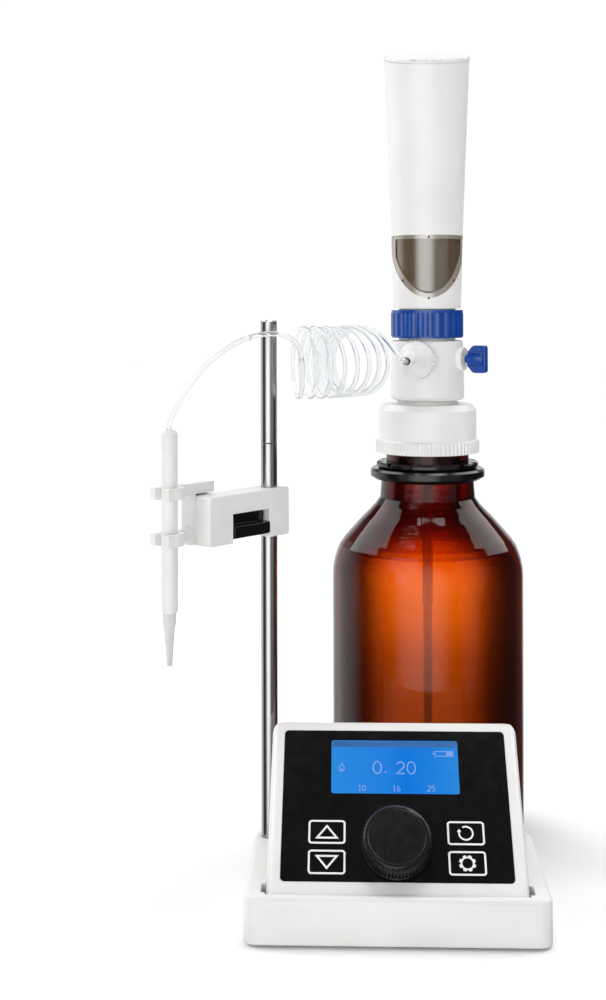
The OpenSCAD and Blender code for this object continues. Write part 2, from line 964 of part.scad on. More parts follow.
// The level top and the slanted lower cut of the sight window, and of the field inside its edge
module window_wedge(edge, back) {
    deep = housing_radius(window_top);
    low = window_low + edge - (window_h - 2 * edge) / (1 + back);
    translate([-2 * deep, 0, 0])
        rotate([90, 0, 90])
            linear_extrude(4 * deep)
                polygon([[-2 * deep, window_top - edge], [back * deep, window_top - edge], [-2 * deep, low]]);
}

module drive_housing() {
    color("white")
    on_bottle()
    difference() {
        intersection() {
            housing_cone(0, housing_low, housing_top + 8);
            under_slant(housing_wall);
        }
        housing_cone(housing_wall, housing_low + 2.5, housing_top + 9);
        post(cylinder_r, housing_low - 1, housing_low + 4);
        window_wedge(0, 0.3);
        window_pin_places()
            post(0.6, 0, housing_top_d);
    }
}

module housing_cap() {
    color("white")
    on_bottle()
    difference() {
        intersection() {
            housing_cone(0, housing_low, housing_top + 8);
            under_slant(0);
        }
        under_slant(housing_wall);
    }
}

module window_pin_places() {
    for (p = [[-72, 0.965], [0, 0.965], [72, 0.965], [-47, 0.3], [47, 0.3], [0, 0.03]])
        translate([0, 0, window_low + p[1] * window_h])
            rotate([90, 0, p[0]])
                children();
}

module sight_window() {
    color("tan")
    on_bottle()
    difference() {
        intersection() {
            difference() {
                housing_cone(0, housing_low, housing_top);
                housing_cone(housing_wall, housing_low - 1, housing_top + 1);
            }
            window_wedge(0, 0.3);
        }
        intersection() {
            difference() {
                housing_cone(-1, housing_low, housing_top);
                housing_cone(0.6, housing_low - 1, housing_top + 1);
            }
            window_wedge(window_edge, -0.136);
            translate([window_edge - housing_radius(window_top), -2 * housing_top_d, window_low])
                cube([2 * (housing_radius(window_top) - window_edge), 2 * housing_top_d, window_h]);
        }
        window_pin_places()
            post(0.6, 0, housing_top_d);
    }
}

module window_pins() {
    color("black")
    on_bottle()
    intersection() {
        window_pin_places()
            post(0.6, 0, housing_top_d);
        difference() {
            housing_cone(0, housing_low, housing_top);
            housing_cone(housing_wall, housing_low - 1, housing_top + 1);
        }
    }
}

module measuring_cylinder() {
    color("lightblue")
    on_bottle()
    difference() {
        post(cylinder_r, cylinder_low, cylinder_top);
        post(cylinder_bore / 2, cylinder_low + 2, cylinder_top + 1);
        post(ball_bore / 2, cylinder_low - 1, cylinder_low + 3);
    }
}

module piston() {
    r = cylinder_bore / 2 - move_gap;
    seal_r = cylinder_bore / 2 - slide_gap;
    color("white")
    on_bottle()
        rotate_extrude()
            polygon([[0, piston_low], [r - 1, piston_low], [r, piston_low + 1], [r, piston_low + 4],
                [seal_r, piston_low + 4.3], [seal_r, piston_low + 7.7], [r, piston_low + 8],
                [r, piston_low + piston_l], [0, piston_low + piston_l]]);
}

module piston_rod() {
    color("silver")
    on_bottle()
    difference() {
        post(piston_rod_r, piston_low + piston_l, nut_low);
        post(screw_d / 2 + move_gap, rod_hollow_low, nut_low + 1);
    }
}

module drive_nut() {
    color("ivory")
    on_bottle()
    difference() {
        post(15, nut_low, nut_low + nut_l);
        post(screw_d / 2 + slide_gap, nut_low - 1, nut_low + nut_l + 1);
        guide_places()
            post(guide_d / 2 + slide_gap, nut_low - 1, nut_low + nut_l + 1);
    }
}

module guide_places() {
    for (x = [-1, 1])
        translate([x * guide_r, 0, 0])
            children();
}

module guide_rods() {
    color("silver")
    on_bottle()
        guide_places()
            post(guide_d / 2, nut_low - 1, plate_low);
}

module lead_screw() {
    color("silver")
    on_bottle() {
        post(screw_d / 2, screw_low, plate_low);
        post(2.5, plate_low, motor_low + 8);
    }
}

module motor() {
    color("dimgray")
    on_bottle()
    difference() {
        union() {
            post(17.5, motor_low, motor_low + 16);
            intersection() {
                housing_cone(housing_wall, housing_low, housing_top + 8);
                post(housing_top_d, plate_low, motor_low);
            }
        }
        post(2.5 + slide_gap, plate_low - 1, motor_low + 8 + move_gap);
    }
}

module intake_tube_upper() {
    color("white")
    on_bottle()
    difference() {
        post(intake_d / 2, intake_split, valve_seat_low);
        post(intake_bore / 2, intake_split - 1, valve_seat_low + 1);
    }
}

module intake_tube_lower() {
    color("white")
    on_bottle()
    difference() {
        post(intake_low_d / 2, 8, intake_split + 10);
        post(intake_low_d / 2 - 0.7, 7, intake_split + 11);
    }
}

// Arm and pen
module clamp_bush() {
    color("lightgray")
    on_rod()
    difference() {
        post(bush_r, arm_z + 1.6, arm_z + arm_h - 0.2);
        post(rod_d / 2 + slide_gap, arm_z, arm_z + arm_h + 1);
    }
}

module arm_box(s0, s1, t0, t1, z0, z1) {
    translate([s0, t0, z0])
        cube([s1 - s0, t1 - t0, z1 - z0]);
}

module clamp_arm() {
    color("white")
    on_arm()
    difference() {
        intersection() {
            translate([(arm_end - arm_tail) / 2, 0, 0])
                block_rounded(arm_l, arm_t, 1.5, arm_z, arm_z + arm_h);
            translate([(arm_end - arm_tail) / 2, 0, arm_z + arm_h / 2])
                rotate([90, 0, 0])
                    block_rounded(arm_l, arm_h, 1.5, -arm_t, arm_t);
        }
        post(bush_r + slide_gap, arm_z + 1.5, arm_z + arm_h + 1);
        post(rod_d / 2 + 0.4, arm_z - 1, arm_z + 2);
        arm_box(lever_s - 0.4, lever_s + lever_l + 0.4, 4 - arm_t / 2, arm_t, arm_z - 1, arm_z + notch_h);
        translate([lever_s - 2, lever_pin[0], lever_pin[1]])
            rotate([0, 90, 0])
                cylinder(r = 1, h = lever_l + 4);
    }
}

module lever_pin() {
    color("silver")
    on_arm()
        translate([lever_s - 2, lever_pin[0], lever_pin[1]])
            rotate([0, 90, 0])
                cylinder(r = 1, h = lever_l + 4);
}

module clamp_lever() {
    z = arm_z + 2;
    color("black")
    on_arm()
    difference() {
        translate([lever_s, 0, 0])
            rotate([90, 0, 90])
                linear_extrude(lever_l)
                    polygon([[0, z + 6.2], [0, z + 11.2], [3, z + 11.2], [3, z + 6.2],
                        [arm_t / 2 + 0.5, z + 5.8], [arm_t / 2 + 0.5, z + 0.8], [arm_t / 2 - 0.4, z],
                        [2, z], [1, z + 1]]);
        translate([lever_s - 1, lever_pin[0], lever_pin[1]])
            rotate([0, 90, 0])
                cylinder(r = 1 + slide_gap, h = lever_l + 2);
    }
}

module clip_ring(z) {
    difference() {
        union() {
            translate([pen_s, 0, 0])
                post(clip_r, z, z + clip_h);
            arm_box(arm_end + 1, pen_s, -6.4, -2, z, z + clip_h);
            arm_box(pen_s, pen_s + clip_tab[0], -clip_tab[1], clip_tab[1], z, z + clip_h);
        }
        translate([pen_s, 0, 0])
            post(pen_d / 2 + slide_gap, z - 1, z + clip_h + 1);
        arm_box(pen_s, pen_s + 20, -2.6, 2.6, z - 1, z + clip_h + 1);
    }
}

module clip_bracket() {
    color("white")
    on_arm() {
        arm_box(arm_end, arm_end + 2.5, -arm_t / 2 - 2, -2, arm_z + 0.5, clip_z[1] + clip_h);
        arm_box(arm_end - 12, arm_end + 1, -arm_t / 2 - 2, -arm_t / 2, arm_z + 2.5, clip_z[1] + clip_h);
        arm_box(arm_end - 12, arm_end + 1, -arm_t / 2 - 1, -2, clip_z[1] + 0.4, clip_z[1] + clip_h);
        for (z = clip_z)
            clip_ring(z);
    }
}

module pen_body() {
    r = pen_d / 2;
    color("white")
    on_pen()
    difference() {
        union() {
            cone(r - 0.7, r, pen_low, pen_low + 1.2);
            post(r, pen_low + 1.2, pen_top - 1.6);
            cone(r, r - 0.8, pen_top - 1.6, pen_top);
        }
        post(1, pen_low - 1, pen_top - 3);
    }
}

module pen_tip() {
    color("lightgray")
    on_pen()
    difference() {
        union() {
            post(tip_d / 2, pen_low - 5.5, pen_low);
            cone(1.2, tip_d / 2 - 0.4, pen_low - tip_l, pen_low - 5.5);
        }
        post(0.6, pen_low - tip_l - 1, pen_low + 1);
    }
}

// Delivery tube
module delivery_coil() {
    echo(least_coil_gap = min([for (i = [0:len(coil_line) - 14]) loop_gap(coil_line, i)]) - tube_d);
    color("lightcyan")
        tube(coil_line, 6, nozzle_dir, coil_out);
}

module delivery_lead_upper() {
    color("lightcyan")
        tube([for (i = [0:lead_split]) lead_line[i]], 8, coil_out, tangent(lead_line, lead_split));
}

module delivery_lead_lower() {
    color("lightcyan")
        tube([for (i = [lead_split:len(lead_line) - 1]) lead_line[i]], 8,
            tangent(lead_line, lead_split), [0, 0, -1]);
}

base_shell();
base_bottom_plate();
base_screws();
rubber_feet();
rod_lower();
rod_upper();
console_shell();
console_cover();
console_screws();
panel_overlay();
display_lens();
display_module();
control_board();
encoder_body();
encoder_rotor();
knob_shaft();
knob();
key_up();
key_down();
key_return();
key_settings();
key_switches();
battery_pack();
bottle();
pour_ring();
bottle_adapter();
adapter_seal();
valve_block();
suction_seat();
suction_ball();
discharge_seat();
discharge_ball();
outlet_nozzle();
outlet_nut();
valve_plug();
valve_knob();
coupling_ring();
drive_housing();
housing_cap();
sight_window();
window_pins();
measuring_cylinder();
piston();
piston_rod();
drive_nut();
guide_rods();
lead_screw();
motor();
intake_tube_upper();
intake_tube_lower();
clamp_bush();
clamp_arm();
lever_pin();
clamp_lever();
clip_bracket();
pen_body();
pen_tip();
delivery_coil();
delivery_lead_upper();
delivery_lead_lower();
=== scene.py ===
"""Look of the bottle top dispenser: camera, delivery tube, materials with painted light and shade on the
bottle glass, soft edges, panel print with a painted shade strip on the display, and studio.
"""
import json
import math

import bpy
from mathutils import Matrix, Vector


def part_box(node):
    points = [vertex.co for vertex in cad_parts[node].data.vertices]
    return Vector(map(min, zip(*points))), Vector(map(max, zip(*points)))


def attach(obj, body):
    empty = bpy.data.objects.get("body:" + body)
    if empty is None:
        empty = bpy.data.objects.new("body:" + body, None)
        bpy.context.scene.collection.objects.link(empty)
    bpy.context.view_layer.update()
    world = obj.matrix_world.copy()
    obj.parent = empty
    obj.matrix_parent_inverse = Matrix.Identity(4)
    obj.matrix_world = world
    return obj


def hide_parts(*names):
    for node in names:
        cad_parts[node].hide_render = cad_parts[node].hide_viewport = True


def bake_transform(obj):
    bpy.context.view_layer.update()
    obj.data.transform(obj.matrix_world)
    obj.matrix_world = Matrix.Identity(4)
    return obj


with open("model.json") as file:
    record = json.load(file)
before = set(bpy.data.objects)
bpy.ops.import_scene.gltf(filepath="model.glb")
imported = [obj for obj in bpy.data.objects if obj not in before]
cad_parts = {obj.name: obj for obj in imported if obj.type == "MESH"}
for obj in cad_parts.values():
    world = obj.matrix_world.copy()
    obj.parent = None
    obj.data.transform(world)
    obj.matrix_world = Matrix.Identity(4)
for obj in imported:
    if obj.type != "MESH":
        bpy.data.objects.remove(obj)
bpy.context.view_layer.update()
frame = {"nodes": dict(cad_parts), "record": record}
nodes = frame["nodes"]
scene = bpy.context.scene
MM = 0.001


def box(node):
    low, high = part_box(node)
    return Vector(low), Vector(high)


def middle(node):
    low, high = box(node)
    return (low + high) / 2


def mesh_piece(name, verts, faces, smooth=False):
    mesh = bpy.data.meshes.new(name)
    mesh.from_pydata([tuple(v) for v in verts], [], faces)
    mesh.update()
    for face in mesh.polygons:
        face.use_smooth = smooth
    obj = bpy.data.objects.new(name, mesh)
    scene.collection.objects.link(obj)
    return obj


# Camera: level, turned slightly to the left, with the picture shifted down as in the photograph
CAMERA_PLACE = (0.0020146, -0.7407868, 0.2847946)
CAMERA_YAW = math.radians(1.908)
CAMERA_ROLL = math.radians(0.117)

# Lens: sensor width in millimetres, focal length in sensor widths, and shift in picture lengths
SENSOR = 36
FOCAL = 1.47578
SHIFT_X = -0.00252
SHIFT_Y = -0.20408
NEAR = 0.01
FAR = 50


def camera():
    right = Vector((math.cos(CAMERA_YAW), math.sin(CAMERA_YAW), 0))
    ahead = Vector((-math.sin(CAMERA_YAW), math.cos(CAMERA_YAW), 0))
    up = Vector((0, 0, 1))
    picture_right = right * math.cos(CAMERA_ROLL) - up * math.sin(CAMERA_ROLL)
    picture_up = right * math.sin(CAMERA_ROLL) + up * math.cos(CAMERA_ROLL)
    data = bpy.data.cameras.new("camera")
    data.sensor_width = SENSOR
    data.lens = SENSOR * FOCAL
    data.shift_x = SHIFT_X
    data.shift_y = SHIFT_Y
    data.clip_start = NEAR
    data.clip_end = FAR
    obj = bpy.data.objects.new("camera", data)
    scene.collection.objects.link(obj)
    turn = Matrix((picture_right, picture_up, -ahead)).transposed().to_4x4()
    obj.matrix_world = Matrix.Translation(CAMERA_PLACE) @ turn
    scene.camera = obj


camera()


# Delivery tube: one run out of the nozzle, round the coil, over the rod and down into the pen
TUBE_D = 2.4 * MM
TUBE_SIDES = 12
RING_START = Vector((0.1, 0.2, 1))
OUTLET_TURN = math.radians(252.5)
OUTLET_REACH = 41 * MM
OUTLET_Z = 251.5 * MM
COIL_TURNS = 7.75
COIL_R = 16.6 * MM
COIL_L = 43 * MM
COIL_HEADING = (math.radians(28), math.radians(77))
COIL_FIRST_TURN = math.radians(90)
COIL_OFFSET = Vector((-21.9, -8.9, 1)) * MM
COIL_STEPS = int(48 * COIL_TURNS)
LEAD_IN_PULL = 11 * MM
LEAD_IN_STEPS = 24
LEAD_PULL = 22 * MM
PEN_PULL = Vector((16, 6, 44)) * MM
LEAD_STEPS = 48
LEAD_SPLIT = LEAD_STEPS // 2

bottle = middle("bottle")
pen = middle("pen_body")
pen_top = box("pen_body")[1].z
bend_r = COIL_L / (COIL_HEADING[1] - COIL_HEADING[0])
nozzle_dir = Vector((math.cos(OUTLET_TURN), math.sin(OUTLET_TURN), 0))
nozzle_tip = Vector((bottle.x, bottle.y, OUTLET_Z)) + nozzle_dir * OUTLET_REACH
coil_start = nozzle_tip + COIL_OFFSET


def coil_point(k):
    """Point of the coil at the share k of its length: turns round an axis that bends in plan."""
    first, last = COIL_HEADING
    angle = first + (last - first) * k
    turn = COIL_FIRST_TURN + 2 * math.pi * COIL_TURNS * k
    along = Vector((math.cos(angle) - math.cos(first), math.sin(first) - math.sin(angle), 0))
    side = Vector((math.cos(angle), -math.sin(angle), 0))
    up = Vector((0, 0, 1))
    return coil_start + bend_r * along + COIL_R * (side * math.cos(turn) + up * math.sin(turn))


def bezier(a, b, c, d, t):
    return a * (1 - t) ** 3 + 3 * b * t * (1 - t) ** 2 + 3 * c * t * t * (1 - t) + d * t ** 3


def tube_lines():
    """Routes of the coil with its lead-in, the upper lead and the lower lead."""
    turns = [coil_point(i / COIL_STEPS) for i in range(COIL_STEPS + 1)]
    into = (turns[1] - turns[0]).normalized()
    out = (turns[-1] - turns[-2]).normalized()
    lead_in = nozzle_tip + nozzle_dir * TUBE_D
    coil_end = turns[-1] + out * TUBE_D
    pull = (lead_in + nozzle_dir * LEAD_IN_PULL, turns[0] - into * LEAD_IN_PULL)
    coil = [nozzle_tip]
    coil += [bezier(lead_in, *pull, turns[0], i / LEAD_IN_STEPS) for i in range(LEAD_IN_STEPS)]
    coil += turns
    coil.append(coil_end)
    entry = Vector((pen.x, pen.y, pen_top))
    lead_end = entry + Vector((0, 0, TUBE_D))
    pull = (coil_end + out * LEAD_PULL, lead_end + PEN_PULL)
    lead = [bezier(coil_end, *pull, lead_end, i / LEAD_STEPS) for i in range(LEAD_STEPS + 1)]
    return coil, lead[:LEAD_SPLIT + 1], lead[LEAD_SPLIT:] + [entry]


def sweep(name, line, radius):
    """Smooth round tube along a line, with rings that are carried along it without twist."""
    sides = TUBE_SIDES
    last = len(line) - 1
    across = RING_START
    verts = []
    for i, point in enumerate(line):
        tangent = (line[min(i + 1, last)] - line[max(i - 1, 0)]).normalized()
        across = (across - tangent * across.dot(tangent)).normalized()
        other = tangent.cross(across)
        for j in range(sides):
            angle = 2 * math.pi * j / sides
            verts.append(point + radius * (across * math.cos(angle) + other * math.sin(angle)))
    faces = []
    for ring in range(0, last * sides, sides):
        for j in range(sides):
            k = (j + 1) % sides
            faces.append((ring + j, ring + k, ring + sides + k, ring + sides + j))
    faces.append(tuple(reversed(range(sides))))
    faces.append(tuple(range(last * sides, last * sides + sides)))
    return mesh_piece(name, verts, faces, smooth=True)


def delivery_tube():
    pieces = []
    names = (("delivery_coil", "stand", "clamp_bush", "coiled"),
             ("delivery_lead_upper", "clamp_bush", "clamp_arm", "hanging"),
             ("delivery_lead_lower", "clamp_arm", "pen", "hanging"))
    for (node, first, second, lay), line in zip(names, tube_lines()):
        piece = sweep(node + "_tube", line, TUBE_D / 2)
        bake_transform(piece)
        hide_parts(node)
        pieces.append(piece)
    return pieces


tubes = delivery_tube()


# Shader helpers
NOISE_LOW = 0.3
NOISE_HIGH = 0.7


def material(name):
    mat = bpy.data.materials.new(name)
    mat.use_nodes = True
    tree = mat.node_tree
    return mat, tree, tree.nodes["Principled BSDF"]


def coordinate(tree, kind):
    return tree.nodes.new("ShaderNodeTexCoord").outputs[kind]


def split(tree, vector):
    node = tree.nodes.new("ShaderNodeSeparateXYZ")
    tree.links.new(vector, node.inputs["Vector"])
    return node.outputs


def calculate(tree, operation, *values):
    """Math node on numbers and other nodes' outputs."""
    node = tree.nodes.new("ShaderNodeMath")
    node.operation = operation
    for socket, value in zip(node.inputs, values):
        if isinstance(value, bpy.types.NodeSocket):
            tree.links.new(value, socket)
        else:
            socket.default_value = value
    return node.outputs["Value"]


def map_range(tree, value, start, end, low, high, interpolation="LINEAR"):
    node = tree.nodes.new("ShaderNodeMapRange")
    node.interpolation_type = interpolation
    for socket, number in (("From Min", start), ("From Max", end), ("To Min", low), ("To Max", high)):
        node.inputs[socket].default_value = number
    tree.links.new(value, node.inputs["Value"])
    return node.outputs["Result"]


def spread(tree, fac, low, high):
    """Noise spread over the range from low to high."""
    return map_range(tree, fac, NOISE_LOW, NOISE_HIGH, low, high)


def ramp(tree, fac, stops):
    node = tree.nodes.new("ShaderNodeValToRGB")
    elements = node.color_ramp.elements
    while len(elements) < len(stops):
        elements.new(0.5)
    for element, (place, colour) in zip(elements, stops):
        element.position = place
        element.color = (*colour, 1)
    tree.links.new(fac, node.inputs["Fac"])
    return node.outputs["Color"]


def tones(tree, fac, dark, light):
    """Noise spread over the colours from dark to light."""
    return ramp(tree, fac, [(NOISE_LOW, dark), (NOISE_HIGH, light)])


def noise(tree, scale, detail, stretch=(1, 1, 1)):
    mapping = tree.nodes.new("ShaderNodeMapping")
    mapping.inputs["Scale"].default_value = stretch
    texture = tree.nodes.new("ShaderNodeTexNoise")
    texture.inputs["Scale"].default_value = scale
    texture.inputs["Detail"].default_value = detail
    tree.links.new(coordinate(tree, "Object"), mapping.inputs["Vector"])
    tree.links.new(mapping.outputs["Vector"], texture.inputs["Vector"])
    return texture.outputs["Fac"]


def multiply(tree, first, second):
    node = tree.nodes.new("ShaderNodeMixRGB")
    node.blend_type = "MULTIPLY"
    node.inputs["Fac"].default_value = 1.0
    tree.links.new(first, node.inputs["Color1"])
    tree.links.new(second, node.inputs["Color2"])
    return node.outputs["Color"]


def surface(tree, shader, colour, rough, height, depth):
    """Colour, roughness and a bump of the given depth."""
    bump = tree.nodes.new("ShaderNodeBump")
    bump.inputs["Distance"].default_value = depth
    bump.inputs["Strength"].default_value = 1.0
    tree.links.new(height, bump.inputs["Height"])
    tree.links.new(bump.outputs["Normal"], shader.inputs["Normal"])
    tree.links.new(colour, shader.inputs["Base Color"])
    tree.links.new(rough, shader.inputs["Roughness"])


# Materials
def moulded(name, dark, light, rough, grain=2600, depth=0.02 * MM, tone=38, **sockets):
    """Moulded plastic, rubber or coating: broad tone changes, patchy gloss and a fine surface grain."""
    mat, tree, shader = material(name)
    surface(tree, shader, tones(tree, noise(tree, scale=tone, detail=4), dark, light),
            rough=spread(tree, noise(tree, scale=tone * 6, detail=5), *rough),
            height=noise(tree, scale=grain, detail=2), depth=depth)
    for socket, value in sockets.items():
        shader.inputs[socket.replace("_", " ")].default_value = value
    return mat


def brushed(name, dark, light, rough, depth=0.008 * MM):
    """Metal with fine lines along its length."""
    mat, tree, shader = material(name)
    lines = noise(tree, scale=5200, detail=3, stretch=(1, 1, 0.012))
    colour = ramp(tree, lines, [(0.32, dark), (0.68, light)])
    surface(tree, shader, colour, rough=spread(tree, lines, *rough), height=lines, depth=depth)
    shader.inputs["Metallic"].default_value = 1.0
    return mat


def clear(name, dark, light, rough, ior, transmission):
    """Clear or milky material with slight waves in its surface."""
    mat, tree, shader = material(name)
    surface(tree, shader, tones(tree, noise(tree, scale=24, detail=3), dark, light),
            rough=spread(tree, noise(tree, scale=120, detail=4), *rough),
            height=noise(tree, scale=300, detail=2), depth=0.04 * MM)
    shader.inputs["IOR"].default_value = ior
    shader.inputs["Transmission Weight"].default_value = transmission
    return mat


# Bottle wall colour from seen face on to edge on: darker edge on, partly from the longer path through the
# glass and partly painted shade; and from its foot to its mouth: a painted lighter band a little above the
# middle and painted shade towards the foot and the mouth
GLASS_EDGE_DEPTH_AND_SHADE = [(0.0, (1.0, 0.98, 0.9)), (0.09, (0.88, 0.86, 0.7)), (0.28, (0.22, 0.215, 0.18)),
              (0.48, (0.07, 0.072, 0.07)), (1.0, (0.025, 0.027, 0.028))]
GLASS_HEIGHT_LIGHT_AND_SHADE = [(0.0, (0.52, 0.46, 0.42)), (0.36, (0.58, 0.52, 0.46)), (0.55, (1, 1, 1)), (0.70, (1, 1, 1)),
                (0.80, (0.50, 0.53, 0.50)), (1.0, (0.46, 0.50, 0.48))]
GLASS_BROWN = (0.965, 0.665, 0.06, 1)
GLASS_DENSITY = 1000


def amber(name):
    """Brown bottle glass: darker where the wall is seen edge on, partly from the longer path through the
    glass and partly painted shade, with a painted lighter band a little above the middle and painted shade
    towards the foot and the mouth.
    """
    mat, tree, shader = material(name)
    weight = tree.nodes.new("ShaderNodeLayerWeight")
    weight.inputs["Blend"].default_value = 0.5
    # Edge-on darkening: partly the longer path through the glass, partly painted shade
    edge = ramp(tree, weight.outputs["Facing"], GLASS_EDGE_DEPTH_AND_SHADE)
    # Painted light and shade along the height: a lighter band a little above the middle, darker towards the
    # foot and the mouth
    height = ramp(tree, split(tree, coordinate(tree, "Generated"))["Z"], GLASS_HEIGHT_LIGHT_AND_SHADE)
    surface(tree, shader, multiply(tree, edge, height),
            rough=spread(tree, noise(tree, scale=45, detail=4), low=0.015, high=0.04),
            height=noise(tree, scale=46, detail=2), depth=0.2 * MM)
    shader.inputs["IOR"].default_value = 1.3
    shader.inputs["Transmission Weight"].default_value = 1.0
    volume = tree.nodes.new("ShaderNodeVolumeAbsorption")
    volume.inputs["Color"].default_value = GLASS_BROWN
    volume.inputs["Density"].default_value = GLASS_DENSITY
    tree.links.new(volume.outputs["Volume"], tree.nodes["Material Output"].inputs["Volume"])
    return mat


# Radius of the window's outer face at the housing's foot, its growth with height, and where its edge starts
WINDOW_R = 18 * MM
WINDOW_TAPER = 0.0266
WINDOW_EDGE = (-0.4 * MM, -0.3 * MM)
WINDOW_FIELD_TINT = (0.15, 0.099, 0.05)
WINDOW_EDGE_TINT = (0.36, 0.315, 0.262)


def smoked(name):
    """Smoked window: a paler raised edge round a see-through field, told apart by how proud they stand."""
    mat, tree, shader = material(name)
    axes = split(tree, coordinate(tree, "Object"))
    x = calculate(tree, "SUBTRACT", axes["X"], bottle.x)
    y = calculate(tree, "SUBTRACT", axes["Y"], bottle.y)
    z = calculate(tree, "SUBTRACT", axes["Z"], box("drive_housing")[0].z)
    square = calculate(tree, "MULTIPLY_ADD", x, x, calculate(tree, "MULTIPLY", y, y))
    outer = calculate(tree, "MULTIPLY_ADD", z, WINDOW_TAPER, WINDOW_R)
    proud = calculate(tree, "SUBTRACT", calculate(tree, "SQRT", square), outer)
    edge = map_range(tree, proud, *WINDOW_EDGE, low=0, high=1)
    surface(tree, shader, ramp(tree, edge, [(0.0, WINDOW_FIELD_TINT), (1.0, WINDOW_EDGE_TINT)]),
            rough=spread(tree, noise(tree, scale=40, detail=3), low=0.16, high=0.20),
            height=noise(tree, scale=60, detail=2), depth=0.004 * MM)
    tree.links.new(map_range(tree, edge, 0, 1, low=0.58, high=0.8), shader.inputs["Alpha"])
    shader.inputs["Specular IOR Level"].default_value = 1.0
    shader.inputs["IOR"].default_value = 2.0
    return mat


# Backlight from the display's left end to its right end
BACKLIGHT = [(0.0, (0.018, 0.225, 0.66)), (0.45, (0.010, 0.185, 0.67)), (0.58, (0.0, 0.160, 0.64)),
             (0.78, (0.006, 0.185, 0.65)), (1.0, (0.020, 0.220, 0.65))]


def backlit(name):
    """Display face: blue backlight that is deeper right of the middle, under slightly cloudy plastic."""
    mat, tree, shader = material(name)
    glow = ramp(tree, split(tree, coordinate(tree, "Generated"))["X"], BACKLIGHT)
    tree.links.new(glow, shader.inputs["Emission Color"])
    shader.inputs["Emission Strength"].default_value = 1.0
    cloud = noise(tree, scale=400, detail=3)
    colour = tones(tree, cloud, dark=(0.002, 0.018, 0.05), light=(0.004, 0.028, 0.07))
    rough = spread(tree, noise(tree, scale=160, detail=3), low=0.10, high=0.18)
    tree.links.new(colour, shader.inputs["Base Color"])
    tree.links.new(rough, shader.inputs["Roughness"])
    return mat


MATERIALS = {
    "white_plastic": moulded("white_plastic", (0.755, 0.75, 0.74), (0.81, 0.805, 0.795), (0.30, 0.42),
                             depth=0.012 * MM),
    "grey_plastic": moulded("grey_plastic", (0.10, 0.10, 0.105), (0.15, 0.15, 0.155), (0.45, 0.6)),
    "black_gloss": moulded("black_gloss", (0.003, 0.003, 0.0035), (0.0055, 0.0055, 0.006), (0.14, 0.22),
                           depth=0.004 * MM, Specular_IOR_Level=0.4),
    "black_knob": moulded("black_knob", (0.004, 0.004, 0.0045), (0.007, 0.007, 0.0075), (0.24, 0.32),
                          depth=0.006 * MM, Specular_IOR_Level=0.4),
    "blue_plastic": moulded("blue_plastic", (0.003, 0.048, 0.27), (0.005, 0.056, 0.30), (0.12, 0.18),
                            depth=0.004 * MM, Specular_IOR_Level=0.45),
    "display": backlit("display"),
    "steel": brushed("steel", (0.36, 0.36, 0.36), (0.40, 0.40, 0.40), (0.20, 0.26), depth=0.002 * MM),
    "rubber": moulded("rubber", (0.016, 0.016, 0.017), (0.03, 0.03, 0.031), (0.65, 0.85), grain=1800,
                      depth=0.05 * MM),
    "amber_glass": amber("amber_glass"),
    "smoked_window": smoked("smoked_window"),
    "clear_glass": moulded("clear_glass", (0.86, 0.89, 0.90), (0.92, 0.95, 0.95), (0.04, 0.08),
                           depth=0.003 * MM, Alpha=0.22),
    "clear_tube": clear("clear_tube", (0.88, 0.90, 0.91), (0.95, 0.96, 0.97), (0.06, 0.12), 1.35, 0.85),
    "translucent_tip": clear("translucent_tip", (0.78, 0.78, 0.77), (0.86, 0.86, 0.85), (0.25, 0.36), 1.45,
                             0.45),
    "seal_white": moulded("seal_white", (0.74, 0.74, 0.71), (0.84, 0.84, 0.81), (0.34, 0.5)),
    "board_green": moulded("board_green", (0.012, 0.09, 0.035), (0.02, 0.14, 0.05), (0.25, 0.4), grain=900),
    "battery_wrap": moulded("battery_wrap", (0.02, 0.10, 0.2), (0.03, 0.14, 0.26), (0.2, 0.35)),
    "motor_metal": brushed("motor_metal", (0.06, 0.06, 0.065), (0.12, 0.12, 0.125), (0.3, 0.45)),
}
printed_white = moulded("printed_white", (0.80, 0.80, 0.80), (0.88, 0.88, 0.88), (0.4, 0.5))
lcd_ink = moulded("lcd_ink", (0.17, 0.31, 0.74), (0.21, 0.35, 0.80), (0.3, 0.4))
# Ink of the painted shade strip along the display's top edge
display_shade_ink = moulded("display_shade_ink", (0.035, 0.13, 0.36), (0.05, 0.16, 0.40), (0.12, 0.2))


def coat(obj, mat):
    obj.data.materials.clear()
    obj.data.materials.append(mat)


for part in frame["record"]["subparts"]:
    coat(nodes[part["node"]], MATERIALS[part["material_slot"]])
for tube in tubes:
    coat(tube, MATERIALS["clear_tube"])


# Soft edges: the sharp edges of moulded nodes get a small round
SAME_POINT = 0.002 * MM
SAME_CORNER = 0.01 * MM
FLAT_ANGLE = math.radians(1)
EDGE_SEGMENTS = 2

# Node, width of the round in millimetres, and the least turn of an edge in degrees
EDGE_ROUNDS = (("clamp_arm", 0.7, 32), ("base_shell", 0.5, 32), ("clamp_lever", 0.3, 32),
               ("housing_cap", 0.6, 32), ("valve_knob", 0.5, 32), ("knob", 0.25, 32),
               ("console_shell", 0.35, 60))


def soften(node, width, least_turn):
    """Rounds the sharp edges of a node, on a mesh whose flat faces are joined first."""
    modifiers = nodes[node].modifiers
    weld = modifiers.new("weld", "WELD")
    weld.merge_threshold = SAME_POINT
    flat = modifiers.new("flat", "DECIMATE")
    flat.decimate_type = "DISSOLVE"
    flat.angle_limit = FLAT_ANGLE
    edge = modifiers.new("edge", "BEVEL")
    edge.width = width * MM
    edge.segments = EDGE_SEGMENTS
    edge.limit_method = "ANGLE"
    edge.angle_limit = math.radians(least_turn)
    edge.use_clamp_overlap = False
    edge.harden_normals = True
    close = modifiers.new("close", "WELD")
    close.merge_threshold = SAME_CORNER


for edge_round in EDGE_ROUNDS:
    soften(*edge_round)


